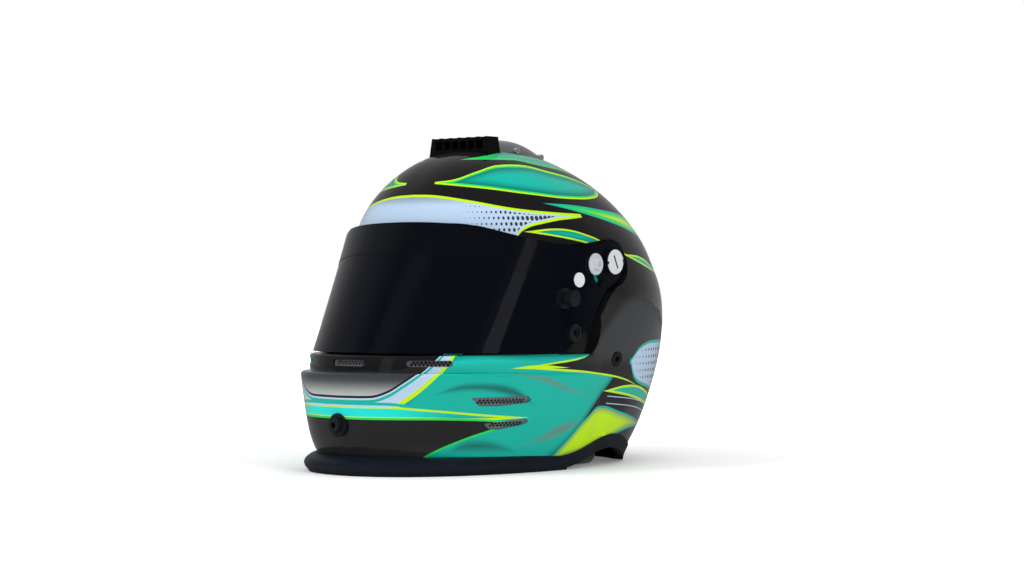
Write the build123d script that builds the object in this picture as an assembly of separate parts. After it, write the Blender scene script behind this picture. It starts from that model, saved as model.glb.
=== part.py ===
from build123d import *
from build123d.topology import SkipClean
import math
import os

# Auto racing helmet, in millimetres, +Z up. The front faces -Y and the wearer's left is +X.
# The origin is on the floor, under the middle of the helmet's length and width.
os.makedirs("parts", exist_ok=True)

# Overall size of the shell
shell_half_width = 125.0
crown_height = 268.0
widest_height = 145.0
front_reach = 177.5
rear_reach = 177.0
middle_shift = 15.5
wall = 3.5
shell_overrun = 60.0
cut_reach = 240.0
on_its_base = (Align.CENTER, Align.CENTER, Align.MIN)
section_points = 20
redraw_steps = 6
front_power = 2.25
rear_power = 2.25
crown_inset_gain = 1.35

# One row per level: height, half width, front reach, rear reach and place of the widest point,
# each as a share of the size above
body_shares = (
    (0.000, 0.776, 0.806, 0.746, 0.32),
    (0.075, 0.828, 0.834, 0.797, 0.42),
    (0.168, 0.880, 0.851, 0.887, 0.55),
    (0.261, 0.920, 0.856, 0.949, 0.65),
    (0.354, 0.956, 0.848, 0.986, 0.76),
    (0.448, 0.984, 0.786, 0.989, 0.84),
    (0.541, 1.000, 0.712, 0.952, 0.97),
    (0.634, 0.979, 0.643, 0.870, 1.00),
    (0.728, 0.914, 0.571, 0.780, 0.84),
    (0.802, 0.822, 0.533, 0.673, 0.65),
    (0.869, 0.699, 0.468, 0.548, 0.45),
    (0.925, 0.546, 0.383, 0.407, 0.26),
    (0.963, 0.396, 0.293, 0.282, 0.13),
    (0.987, 0.236, 0.180, 0.153, 0.00),
    (0.9985, 0.080, 0.068, 0.051, -0.10),
)

# Chin: a proud lower front, laid over the body, with the step that the vent band leaves above it
chin_top = 81.5
chin_side_proud = 1.2
chin_rear = 62.0
overlay_middle = 10.0
chin_edge_radius = 2.5
chin_shares = (
    (0.00, 0.840),
    (0.14, 0.915),
    (0.32, 0.962),
    (0.56, 0.984),
    (0.80, 0.996),
    (1.00, 1.000),
)

# Vent band between the chin and the visor
band_bottom = 40.0
band_top = 95.5
band_side_proud = 0.7
band_front = 163.5
band_edge_radius = 2.0
band_shares = (
    (0.00, 0.960),
    (0.35, 0.985),
    (0.75, 1.010),
    (1.00, 0.998),
)

# Rear ridge: the upper shell ends in a sharp edge across the back
ridge_height = 95.0
ridge_rise = 46.0
ridge_proud = 6.6
ridge_side_inset = 8.0

# Visor
visor_half_width = 120.5
visor_thickness = 3.0
visor_middle = 14.0
visor_rear = 200.0
visor_low = 80.0
visor_high = 216.0
visor_low_reach = 169.5
visor_high_reach = 98.5
visor_bottom = 97.5
visor_top = 204.0
visor_to_shell = 3.0
pocket_margin = 1.6
recess_start = 42.0
roll_clearance = 1.2
roll_relief_points = ((-62.0, 178.0), (20.0, 178.0), (27.0, 190.0), (27.0, 206.0), (-62.0, 206.0))
visor_corner_radius = 4.0
visor_top_edge = ((27.0, 189.2), (8.0, 186.3), (-25.0, 183.5), (-50.0, 186.8), (-70.0, 192.3), (-88.0, 199.6))
visor_rear_edge = ((-33.0, 97.5), (-15.0, 110.5), (2.0, 124.5), (13.0, 140.5), (27.0, 152.8))
pocket_low_edge = ((-42.0, 99.0), (-31.0, 91.5), (-20.0, 89.3), (-7.0, 91.5), (2.2, 98.5), (6.5, 109.0), (6.0, 126.0))

# Visor pivot, guide slot and studs: places as depth (Y) and height (Z)
pivot_depth = 24.0
pivot_height = 171.0
pivot_eye_radius = 18.5
hub_radius = 12.6
seat_start = 112.0
plate_radius = 16.5
plate_drop = 1.0
guide_plate_radius = 7.0
fixing_radius = 3.0
fixing_length = 4.2
fixing_bite = 2.3
slot_end_play = 0.6
hub_proud = 1.6
stem_radius = 6.0
running_clearance = 0.05
sliding_clearance = 0.3
cap_radius = 10.25
cap_thickness = 2.4
cap_edge = 0.5
cap_turn = 25.0
cap_notch = 2.4
cap_slot_width = 1.4
cap_slot_length = 12.0
cap_slot_depth = 0.8
guide_radius = 22.1
guide_angle = 5.2
visor_travel = 42.0
guide_bush_radius = 4.0
guide_slot_half_width = 4.3
washer_radius = 9.0
washer_thickness = 1.2
washer_edge = 0.5
screw_head_radius = 4.5
screw_head_height = 3.4
hex_socket_radius = 2.6
hex_socket_depth = 2.0
post_depth = -34.0
post_height = 141.0
post_radius = 6.6
post_length = 13.0
post_flange_radius = 8.5
post_flange_thickness = 2.4
post_waist_radius = 5.2
post_head_height = 5.5
stud_depth = -25.0
stud_height = 113.0
stud_radius = 7.3
stud_length = 4.0
stud_ring_radius = 4.6
stud_ring_depth = 1.0
sticker_depth = -16.5
sticker_height = 156.0
sticker_radius = 6.0
film_thickness = 0.4
strip_edge = ((-240.0, 178.0), (-118.0, 178.0), (-104.0, 174.5), (-86.0, 169.0), (-70.0, 163.0), (-52.0, 156.0))
strip_rear = -48.0
strip_margin = 1.4

# Eyeport
eyeport_bottom = 104.0
eyeport_top = 197.0
eyeport_points = ((-84.0, 104.0), (-60.0, 118.0), (-56.0, 150.0), (-66.0, 180.0), (-90.0, 197.0))
eyeport_corner = 11.0
gasket_proud = 1.5
gasket_lip = 5.0
gasket_edge = 2.5
gasket_step = 0.5

# Base trim, chin spoiler and rear
trim_height = 11.5
trim_proud = 1.8
trim_groove = 5.0
trim_inner = 2.0
arch_points = ((-34.0, 0.0), (-8.0, 2.2), (20.0, 10.5), (46.0, 15.5), (74.0, 10.0), (96.0, 2.5), (118.0, 0.0))
spoiler_half_width = 104.2
spoiler_reach = 181.0
spoiler_rear = 170.0
spoiler_middle = 5.0
spoiler_back = -12.0
spoiler_height = 15.0
spoiler_shares = ((0.00, 0.972), (0.24, 0.990), (0.49, 1.000), (0.74, 0.988), (1.00, 0.940))

# Vents
slot_height = 5.0
slot_level = 89.4
slot_half_length = 18.5
slot_inner = 130.0
side_slot_depth = 30.0
vent_corner = 0.8
mesh_row_share = 0.55
side_slot_place = (66.5, -139.5)
side_slot_turn = 40.0
vent_mesh_depth = 2.0
vent_mesh_thickness = 1.2
mesh_pitch = 3.2
mesh_hole = 2.1
upper_vent = ((-117.0, 62.4), (-109.5, 55.6), (-94.0, 55.2), (-67.0, 57.2), (-63.5, 60.0), (-67.0, 62.8))
lower_vent = ((-104.0, 41.4), (-98.5, 36.6), (-89.5, 36.2), (-65.5, 40.0), (-63.0, 42.4), (-66.0, 44.6))
vent_wall_reach = 70.0
vent_depth = 150.0

# Drink tube port
port_level = 40.0
port_face = 174.0
port_flange_radius = 9.5
port_flange_thickness = 2.6
port_nozzle_radius = 6.0
port_nozzle_reach = 180.8
port_shank_radius = 5.0
port_shank_length = 12.0
port_shank_taper = 0.03
port_relief = 0.8
port_bore_radius = 2.3

# Head restraint anchor
anchor_depth = 33.0
anchor_height = 90.0
anchor_radius = 6.4
anchor_taper = 0.03
anchor_length = 13.0
anchor_lean = 14.0
anchor_thread_radius = 2.5
anchor_thread_length = 10.0
anchor_face = 118.9
anchor_relief = 4.0

# Crown scoop and fairing
scoop_half_width = 35.0
scoop_top_half_width = 31.0
scoop_front = -32.0
scoop_back = -17.0
scoop_base = 255.0
scoop_top = 276.5
scoop_mouth_half_width = 27.0
scoop_mouth_bottom = 266.5
scoop_mouth_top = 273.5
scoop_mouth_depth = 9.0
scoop_mesh_room = 1.2
scoop_vane_count = 5
scoop_vane = 1.6
scallop_count = 6
scallop_radius = 7.0
scallop_bite = 1.1
scallop_reach = 8.0
fairing_rows = (
    (-17.0, 34.0, 275.0),
    (5.0, 33.5, 275.2),
    (28.0, 31.5, 271.8),
    (50.0, 28.0, 264.4),
    (72.0, 23.0, 255.4),
    (92.0, 17.0, 244.0),
    (106.0, 11.0, 233.5),
)
fairing_points = 14
fairing_power = 4.5
fairing_base_drop = 34.0
fairing_window = ((-13.0, 264.0), (-3.0, 262.5), (-3.5, 271.0), (-12.0, 272.0))
fairing_window_depth = 1.0
fairing_screw_places = ((4.0, 265.5), (40.0, 261.5))
fairing_screw_radius = 2.6
fairing_screw_length = 6.0
fairing_screw_seat = 5.0
fairing_screw_height = 1.4

# Padding
foam = 24.0
foam_side_extra = 9.0
comfort = 7.0
cheek_inset = 48.0
chin_foam_inset = 16.0
pad_clearance = 0.3
foam_outline = (
    (44.0, 30.0), (44.0, 52.0), (8.0, 52.0), (8.0, 101.0), (-48.0, 104.0), (-51.0, 150.0),
    (-60.0, 181.0), (-86.0, 201.0), (-160.0, 221.0),
)
comfort_outline = (
    (50.0, 46.0), (50.0, 60.0), (14.0, 60.0), (14.0, 110.0), (-42.0, 112.0), (-46.0, 150.0),
    (-54.0, 184.0), (-80.0, 205.0), (-140.0, 225.0),
)
cheek_front = -112.0
cheek_rear = 6.0
cheek_bottom = 24.0
cheek_top = 99.0
cheek_corner = 10.0
chin_foam_bottom = 20.0
chin_foam_top = 92.0
neck_front = 58.0
neck_bottom = 13.5
neck_top = 29.5
neck_thickness = 20.0

# Straps
strap_width = 22.0
strap_thickness = 2.0
strap_depth = 26.0
strap_anchor_x = 92.0
strap_anchor_height = 34.0
strap_pin_radius = 4.0
strap_pin_head = 2.5
strap_pin_head_height = 1.6
strap_floor = 1.2
strap_bend = 9.0
strap_left_end = 30.0
strap_right_end = 12.0
strap_plate_reach = 5.0
strap_plate_width = 16.0
ring_wire_radius = 1.5
ring_half_width = 14.0
ring_length = 22.0
ring_spacing = 1.9
ring_level = 5.4
hem_radius = 4.8
hem_bore = 3.7


def curve_points(half_width, front, rear, middle, height):
    """Points of one level: two half superellipses that meet at the widest place."""
    points = []
    for step in range(section_points):
        angle = 2 * math.pi * step / section_points - math.pi / 2
        power = front_power if math.sin(angle) < 0 else rear_power
        reach = middle + front if math.sin(angle) < 0 else rear - middle
        across = math.copysign(abs(math.cos(angle)) ** (2 / power), math.cos(angle))
        along = math.copysign(abs(math.sin(angle)) ** (2 / power), math.sin(angle))
        points.append((half_width * across, middle + reach * along, height))
    return points


def level_wire(half_width, front, rear, middle, height):
    points = curve_points(half_width, front, rear, middle, height)
    return Wire([Edge.make_spline([Vector(*point) for point in points], periodic=True)])


def body_row(share_row, inset, side_inset):
    height_share, width_share, front_share, rear_share, middle_share = share_row
    height = height_share * crown_height
    if height > widest_height:
        rise = crown_height - widest_height
        height = widest_height + (height - widest_height) * (rise - inset) / rise
    reach_inset = inset * min(1, crown_inset_gain * width_share)
    half_width = width_share * (shell_half_width - inset - side_inset)
    front = front_share * front_reach - reach_inset
    rear = rear_share * rear_reach - reach_inset
    return half_width, front, rear, middle_share * middle_shift, height


def body_form(inset, side_inset=0):
    """The helmet's egg shape, drawn in by an inset, and by more at the sides."""
    wires = [level_wire(*body_row(row, inset, side_inset)) for row in body_shares]
    return Solid.make_loft(wires)


def body_width_at(height):
    """Half width of the body at a height under the widest place, between its rows."""
    rows = [(row[0] * crown_height, row[1] * shell_half_width) for row in body_shares]
    for low, high in zip(rows, rows[1:]):
        if low[0] <= height <= high[0]:
            part = (height - low[0]) / (high[0] - low[0])
            return low[1] + part * (high[1] - low[1])
    return rows[-1][1]


def overlay_form(bottom, top, reach, proud, shares, edge_radius, inset):
    """A proud band laid over the front of the body, which fades into its sides."""
    wires = []
    for level_share, reach_share in shares:
        height = bottom + level_share * (top - inset - bottom)
        half_width = body_width_at(height) + proud - inset
        front = reach * reach_share - inset
        wires.append(level_wire(half_width, front, chin_rear, overlay_middle, height))
    form = Solid.make_loft(wires)
    if inset <= 0:
        form = fillet(form.edges().sort_by(Axis.Z)[-1], edge_radius)
    return form


def chin_form(inset):
    return overlay_form(0, chin_top, front_reach, chin_side_proud, chin_shares, chin_edge_radius, inset)


def band_form(inset):
    return overlay_form(band_bottom, band_top, band_front, band_side_proud, band_shares, band_edge_radius, inset)


def ridge_form():
    """Rear ridge: proud at its lower edge, gone a little higher up."""
    wires = []
    for share in (0, 0.15, 0.45, 1):
        height = ridge_height + share * ridge_rise
        half_width = body_width_at(height) - ridge_side_inset
        rear = rear_at(height) + ridge_proud * (1 - share * 2)
        wires.append(level_wire(half_width, 0, rear, middle_shift, height))
    return Solid.make_loft(wires)


def rear_at(height):
    rows = [(row[0] * crown_height, row[3] * rear_reach) for row in body_shares]
    for low, high in zip(rows, rows[1:]):
        if low[0] <= height <= high[0]:
            part = (height - low[0]) / (high[0] - low[0])
            return low[1] + part * (high[1] - low[1])
    return rows[-1][1]


def visor_reach_at(height):
    part = (height - visor_low) / (visor_high - visor_low)
    return visor_low_reach + part * (visor_high_reach - visor_low_reach)


def visor_form(inset):
    """The visor's surface: level curves that shrink steadily upwards, so it rolls flat."""
    wires = []
    for height in (visor_low, visor_high):
        reach = visor_reach_at(height) - inset
        wires.append(level_wire(visor_half_width - inset, reach, visor_rear - inset, visor_middle, height))
    return Solid.make_loft(wires, ruled=True)


def side_face(edges):
    """A face in the side view, from edges drawn with depth as X and height as Y."""
    return Plane.YZ * make_face(edges)


def prism(face, reach=cut_reach):
    """A side view outline taken right across the helmet."""
    return extrude(face, amount=reach, both=True)


def polygon_prism(points, reach=cut_reach):
    return prism(side_face(Polyline(*points, close=True)), reach)


def visor_outline():
    """Side view of the visor, with its eye round the pivot."""
    eye_back = (pivot_depth + pivot_eye_radius, pivot_height)
    low = Spline(*visor_rear_edge)
    eye = ThreePointArc(visor_rear_edge[-1], eye_back, visor_top_edge[0])
    top = Spline(*visor_top_edge)
    front = Polyline(visor_top_edge[-1], (-108, visor_top), (-cut_reach, visor_top),
                     (-cut_reach, visor_bottom), visor_rear_edge[0])
    return make_face([low, eye, top, front])


def grown(face, amount):
    """An outline moved out by an amount, with its curved stretches drawn anew as splines."""
    edges = []
    for edge in offset(face, amount=amount).edges():
        if edge.geom_type == GeomType.OFFSET:
            edge = Edge.make_spline([edge.position_at(step / redraw_steps) for step in range(redraw_steps + 1)])
        edges.append(edge)
    return make_face(edges)


def pocket_outline(grow):
    """Side view of the recess that the visor lies in, with its lower rear pocket."""
    low = make_face([Spline(*pocket_low_edge), Line(pocket_low_edge[-1], pocket_low_edge[0])])
    low = grown(low, grow) if grow else low
    return (grown(visor_outline(), pocket_margin + grow) + low).clean()


def recess(grow):
    """What the visor's left recess takes out of the body, grown for the inside of the wall."""
    outline = Plane.YZ.offset(recess_start) * pocket_outline(grow)
    block = extrude(outline, amount=cut_reach)
    return block - visor_form(visor_thickness + visor_to_shell + grow)


def recessed_body(inset):
    left = recess(inset)
    return body_form(inset) - [left, other_side(left)]


def roll_relief():
    """What the left side gives up above the recess, so that the visor turns clear over it."""
    outline = Plane.YZ.offset(recess_start + wall) * make_face(Polyline(*roll_relief_points, close=True))
    return extrude(outline, amount=cut_reach) - visor_form(visor_thickness + roll_clearance)


def eyeport_face(grow):
    face = make_face(Polyline((-cut_reach, eyeport_bottom), *eyeport_points,
                              (-cut_reach, eyeport_top), close=True))
    inner = [v for v in face.vertices() if v.X > -cut_reach / 2]
    face = fillet(inner, eyeport_corner)
    return offset(face, amount=grow) if grow else face


def arch_curve(lift):
    """The base line seen from the side: flat, with an arch behind the cheek."""
    points = [(depth, height + lift) for depth, height in arch_points]
    rise = Spline(*points, tangents=[(1, 0), (1, 0)])
    front = Line((-cut_reach, lift), points[0])
    rear = Line(points[-1], (cut_reach, lift))
    return [front, rise, rear]


def above_base(lift):
    """All that lies above the base line raised by a lift."""
    top = crown_height + shell_overrun
    sides = Polyline((cut_reach, lift), (cut_reach, top), (-cut_reach, top), (-cut_reach, lift))
    return prism(side_face([*arch_curve(lift), sides]))


def base_band(low, high):
    return above_base(low) - above_base(high)


def side_cylinder(depth, height, radius, start, stop):
    """A cylinder along X on the left side."""
    place = Plane(origin=(start, depth, height), z_dir=(1, 0, 0))
    return place * Cylinder(radius, stop - start, align=on_its_base)


def other_side(solid):
    return mirror(solid, about=Plane.YZ)


def export_pair(solid, name):
    export_step(solid, f"parts/{name}_left.step")
    export_step(other_side(solid), f"parts/{name}_right.step")


def visor_face_at(depth, height):
    """X of the visor's outer face at a depth and height."""
    reach = visor_reach_at(height) + visor_middle
    part = max(0, visor_middle - depth) / reach
    return visor_half_width * (1 - part ** front_power) ** (1 / front_power)


def outer_form():
    """The shell's whole outside: recessed body, chin, vent band and rear ridge."""
    front = chin_form(0) + band_form(0)
    relief = roll_relief()
    return (recessed_body(0) - [relief, other_side(relief)]) + front + ridge_form()


def inner_form(hollow):
    """The inside of the shell: its hollow body with the chin and vent band's own hollows."""
    return hollow + chin_form(wall) + band_form(wall)


def front_slot(half_length, half_height, start, stop):
    """A rounded slot cut along Y, centred on the middle line."""
    outline = SlotOverall(2 * half_length, 2 * half_height)
    place = Plane(origin=(0, start, slot_level), x_dir=(1, 0, 0), z_dir=(0, -1, 0))
    return extrude(place * outline, amount=start - stop)


def front_slots():
    """The middle slot and the two slots beside it, turned square to the band."""
    middle = front_slot(slot_half_length, slot_height / 2, -slot_inner, -cut_reach)
    side = front_slot(slot_half_length, slot_height / 2, side_slot_depth, -side_slot_depth)
    x, y = side_slot_place
    side = Pos(x, y, 0) * Rot(0, 0, side_slot_turn) * side
    return [middle, side, other_side(side)]


def side_vent(points):
    """A side vent's outline, cut along X from inside the wall to outside."""
    outline = make_face([Polyline(*points, close=True)])
    outline = fillet(outline.vertices(), vent_corner)
    return extrude(Plane.YZ.offset(vent_wall_reach) * outline, amount=cut_reach)


def hole_grid(count_across, count_up, pitch, hole, depth):
    """Diamond holes in staggered rows, cut along Z and centred on the origin."""
    holes = []
    for row in range(count_up):
        shift = pitch / 2 if row % 2 else 0
        for column in range(count_across):
            x = (column - (count_across - 1) / 2) * pitch + shift
            y = (row - (count_up - 1) / 2) * pitch * mesh_row_share
            holes.append(Pos(x, y, 0) * Rot(0, 0, 45) * Box(hole, hole, depth))
    return holes


def front_mesh(slot, place):
    layer = band_form(vent_mesh_depth) - band_form(vent_mesh_depth + vent_mesh_thickness)
    sheet = layer & slot
    columns = int(2 * slot_half_length / mesh_pitch) - 1
    holes = [place * hole for hole in hole_grid(columns, 2, mesh_pitch, mesh_hole, 2 * cut_reach)]
    return sheet - holes


def side_mesh(outline_solid, points):
    layer = chin_form(vent_mesh_depth) - chin_form(vent_mesh_depth + vent_mesh_thickness)
    sheet = layer & outline_solid
    depths = [point[0] for point in points]
    heights = [point[1] for point in points]
    middle = ((min(depths) + max(depths)) / 2, (min(heights) + max(heights)) / 2)
    columns = int((max(depths) - min(depths)) / mesh_pitch) - 3
    place = Plane(origin=(vent_wall_reach, *middle), x_dir=(0, 1, 0), z_dir=(1, 0, 0))
    holes = [place * hole for hole in hole_grid(columns, 2, mesh_pitch, mesh_hole, 2 * cut_reach)]
    return sheet - holes


def anchor_place():
    """The middle of the insert's face, with Z out along its axis, square to the shell."""
    return Pos(anchor_face, anchor_depth, anchor_height) * Rot(0, 90 + anchor_lean, 0)


def anchor_barrel(overrun):
    """The insert's tapered barrel, run out past its face by an overrun."""
    inner_radius = anchor_radius - anchor_taper * anchor_length
    outer_radius = anchor_radius + anchor_taper * overrun
    barrel = Cone(inner_radius, outer_radius, anchor_length + overrun, align=on_its_base)
    return anchor_place() * Pos(0, 0, -anchor_length) * barrel


def anchor_pocket():
    """Square relief in the foam round the insert's inner end."""
    side = 2 * (anchor_radius + anchor_relief)
    start = anchor_face - anchor_length - anchor_relief
    return Pos((start + cut_reach) / 2, anchor_depth, anchor_height) * Box(cut_reach - start, side, side)


def guide_place():
    """Depth and height of the guide screw, on the slot's circle below the line forward."""
    angle = math.radians(guide_angle)
    depth = pivot_depth - guide_radius * math.cos(angle)
    return depth, pivot_height - guide_radius * math.sin(angle)


def pivot_seats():
    """Blind seats in the recess floor for the pivot stem and the guide bush."""
    stem = side_cylinder(pivot_depth, pivot_height, stem_radius, seat_start, shell_half_width)
    bush = side_cylinder(*guide_place(), guide_bush_radius, seat_start, shell_half_width)
    return [stem, bush]


def port_cylinder(radius, back, front):
    """A cylinder along Y on the middle line, between two reaches forward."""
    place = Plane(origin=(0, -back, port_level), z_dir=(0, -1, 0))
    return place * Cylinder(radius, front - back, align=on_its_base)


def port_shank(overrun):
    """The grommet's tapered shank, run out past the chin by an overrun."""
    length = port_shank_length + overrun
    front_radius = port_shank_radius + port_shank_taper * length
    place = Plane(origin=(0, port_shank_length - port_face, port_level), z_dir=(0, -1, 0))
    return place * Cone(port_shank_radius, front_radius, length, align=on_its_base)


def outer_shell(blank):
    """The painted shell: its blank with the eyeport, vents, seats and holes cut out."""
    shell = blank - prism(Plane.YZ * eyeport_face(0))
    side_cuts = [anchor_barrel(shell_overrun), *pivot_seats(), side_vent(upper_vent), side_vent(lower_vent)]
    side_cuts += [other_side(cut) for cut in side_cuts]
    return shell - [*front_slots(), *side_cuts, port_shank(shell_overrun)]


def visor():
    """The clear shield with its hubs, guide slots and stud holes."""
    outline = visor_outline()
    corner = outline.vertices().sort_by_distance(Vertex(*visor_rear_edge[0], 0))[0]
    outline = fillet(corner, visor_corner_radius)
    shield = (visor_form(0) & prism(Plane.YZ * outline)) - visor_form(visor_thickness)
    hub_start = visor_half_width - visor_thickness / 2
    hub = side_cylinder(pivot_depth, pivot_height, hub_radius, hub_start, visor_half_width + hub_proud)
    bore_radius = stem_radius + running_clearance
    bore = side_cylinder(pivot_depth, pivot_height, bore_radius, stem_radius, cut_reach)
    post = side_cylinder(post_depth, post_height, fixing_radius, recess_start, cut_reach)
    stud = side_cylinder(stud_depth, stud_height, fixing_radius, recess_start, cut_reach)
    cuts = [bore, guide_slot(), post, stud]
    shield = shield + [hub, other_side(hub)]
    return shield - [*cuts, *[other_side(cut) for cut in cuts]]


def guide_slot():
    """The slot that rides on the guide bush, an arc about the pivot."""
    sweep = math.radians(visor_travel + slot_end_play)
    first = math.radians(guide_angle - slot_end_play / 2)

    def at(radius, angle):
        return (pivot_depth - radius * math.cos(angle), pivot_height - radius * math.sin(angle))

    last = first + sweep
    middle = (first + last) / 2
    near = guide_radius - guide_slot_half_width
    far = guide_radius + guide_slot_half_width
    inner = ThreePointArc(at(near, first), at(near, middle), at(near, last))
    outer = ThreePointArc(at(far, last), at(far, middle), at(far, first))
    cap_turn = guide_slot_half_width / guide_radius
    low = ThreePointArc(at(near, last), at(guide_radius, last + cap_turn), at(far, last))
    high = ThreePointArc(at(far, first), at(guide_radius, first - cap_turn), at(near, first))
    outline = make_face([inner, low, outer, high])
    return extrude(Plane.YZ.offset(recess_start) * outline, amount=cut_reach)


def pivot_plate(shell):
    """The base disc between the recess floor and the visor."""
    top = visor_half_width - visor_thickness - plate_drop
    disc = side_cylinder(pivot_depth, pivot_height, plate_radius, seat_start, top)
    guide = side_cylinder(*guide_place(), guide_plate_radius, seat_start, top)
    stem, bush = pivot_seats()
    return (disc + guide) - [stem, bush] - shell


def pivot_cap():
    """Cap and stem that the visor turns on, with two grip notches and a coin slot."""
    under = visor_half_width + hub_proud + sliding_clearance
    face = under + cap_thickness
    stem = side_cylinder(pivot_depth, pivot_height, stem_radius, seat_start, face)
    cap = side_cylinder(pivot_depth, pivot_height, cap_radius, under, face)
    cap = chamfer(cap.edges().sort_by(Axis.X)[-1], cap_edge)
    centre = Pos(face, pivot_depth, pivot_height)
    slot = centre * Rot(cap_turn, 0, 0) * Box(2 * cap_slot_depth, cap_slot_width, cap_slot_length)
    notch = Box(2 * cap_thickness + cap_edge, cap_notch, cap_notch)
    notches = [centre * Rot(cap_turn + side, 0, 0) * Pos(0, 0, cap_radius) * notch for side in (70, 250)]
    return (stem + cap) - [slot, *notches]


def guide_screw():
    """Bush, washer and socket screw that hold the visor flat and stop its travel."""
    depth, height = guide_place()
    under = visor_half_width + sliding_clearance
    top = under + washer_thickness
    bush = side_cylinder(depth, height, guide_bush_radius, seat_start, under)
    washer = side_cylinder(depth, height, washer_radius, under, top)
    washer = chamfer(washer.edges().sort_by(Axis.X)[-1], washer_edge)
    head = side_cylinder(depth, height, screw_head_radius, top, top + screw_head_height)
    head = fillet(head.edges().sort_by(Axis.X)[-1], cap_edge)
    start = top + screw_head_height - hex_socket_depth
    place = Plane(origin=(start, depth, height), z_dir=(1, 0, 0))
    socket = extrude(place * RegularPolygon(hex_socket_radius, 6), amount=2 * hex_socket_depth)
    return bush + washer, head - socket


def tear_off_post(shield):
    """The waisted post that tear-off films hook over."""
    face = visor_face_at(post_depth, post_height)
    foot = side_cylinder(post_depth, post_height, fixing_radius, face - fixing_length, face)
    flange_top = face + post_flange_thickness
    flange = side_cylinder(post_depth, post_height, post_flange_radius, face - fixing_bite, flange_top)
    waist_top = face + post_length - post_head_height
    waist = side_cylinder(post_depth, post_height, post_waist_radius, flange_top, waist_top)
    head = side_cylinder(post_depth, post_height, post_radius, waist_top, face + post_length)
    head = fillet(head.edges().sort_by(Axis.X)[-1], cap_edge)
    flange = flange - visor_form(0)
    return (flange + foot + waist + head) - shield


def visor_stud(shield):
    """The low button that the visor is lifted and latched by."""
    face = visor_face_at(stud_depth, stud_height)
    foot = side_cylinder(stud_depth, stud_height, fixing_radius, face - fixing_length, face)
    button = side_cylinder(stud_depth, stud_height, stud_radius, face - fixing_bite, face + stud_length)
    button = fillet(button.edges().sort_by(Axis.X)[-1], cap_edge)
    button = button - visor_form(0)
    ring_start = face + stud_length - stud_ring_depth
    ring = side_cylinder(stud_depth, stud_height, stud_ring_radius, ring_start, cut_reach)
    place = Plane(origin=(ring_start - hex_socket_depth, stud_depth, stud_height), z_dir=(1, 0, 0))
    socket = extrude(place * RegularPolygon(hex_socket_radius, 6), amount=2 * hex_socket_depth)
    return (button + foot) - [ring, socket] - shield


def film(outline):
    """A thin film on the visor's outer face, inside a side view outline."""
    sheet = visor_form(-film_thickness) & outline
    return sheet - visor_form(0)


def sun_strip():
    """Dark band along the top of the visor, its lower edge parallel to the top one."""
    face = grown(visor_outline(), -strip_margin)
    top = crown_height
    keep = make_face([Spline(*strip_edge[1:]), Polyline(strip_edge[-1], (strip_rear, strip_edge[-1][1]),
                      (strip_rear, top), (-cut_reach, top), strip_edge[0], strip_edge[1])])
    outline = prism(Plane.YZ * face) & prism(Plane.YZ * keep)
    return film(outline)


def sticker():
    place = side_cylinder(sticker_depth, sticker_height, sticker_radius, recess_start, cut_reach)
    return film(place)


def eyeport_gasket():
    """Rubber lip that wraps the eyeport's edge, inside the closed visor."""
    face_inset = visor_thickness + visor_to_shell
    depth = wall - gasket_step
    front = body_form(-gasket_proud) & visor_form(face_inset - gasket_proud)
    back = body_form(depth) & visor_form(face_inset + depth)
    opening = prism(Plane.YZ * eyeport_face(0))
    lining = ((opening - prism(Plane.YZ * eyeport_face(-gasket_edge))) & front) - back
    lip = (prism(Plane.YZ * eyeport_face(gasket_lip)) - opening) & front
    return lining + (lip - (body_form(0) & visor_form(face_inset)))


def trim_block():
    """Everything inside the trim's outer face, as high as the trim."""
    return (body_form(-trim_proud) + chin_form(-trim_proud)) & base_band(0, trim_height)


def base_edge_trim(block, blank):
    """Rubber channel round the base edge, arched behind each cheek."""
    inset = wall + trim_inner
    return block - [body_form(inset) + chin_form(inset), blank]


def chin_spoiler(block, outer):
    """The lip under the chin, which fades into the trim along each side."""
    wires = []
    for level_share, reach_share in spoiler_shares:
        front = spoiler_reach * reach_share
        half_width = spoiler_half_width - spoiler_reach * (1 - reach_share) / 2
        height = level_share * spoiler_height
        wires.append(level_wire(half_width, front, spoiler_rear, spoiler_middle, height))
    lip = Solid.make_loft(wires)
    front_half = Pos(0, spoiler_back - cut_reach / 2, 0) * Box(2 * cut_reach, cut_reach, cut_reach)
    return (lip & front_half) - block - outer


def drink_port(shell):
    """Grommet on the chin with a stepped nozzle and a clear bore."""
    flange_front = port_face + port_flange_thickness
    shank = port_shank(0)
    flange = port_cylinder(port_flange_radius, port_face, flange_front)
    flange = fillet(flange.edges().sort_by(Axis.Y)[0], cap_edge)
    nozzle = port_cylinder(port_nozzle_radius, port_face, port_nozzle_reach)
    nozzle = fillet(nozzle.edges().sort_by(Axis.Y)[0], cap_edge)
    bore = port_cylinder(port_bore_radius, 0, cut_reach)
    return (shank + flange + nozzle) - [bore, shell]


def anchor_insert():
    """Threaded insert for the head restraint's tether, flush with the shell."""
    thread = Cylinder(anchor_thread_radius, 2 * anchor_thread_length)
    return anchor_barrel(0) - anchor_place() * thread


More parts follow.
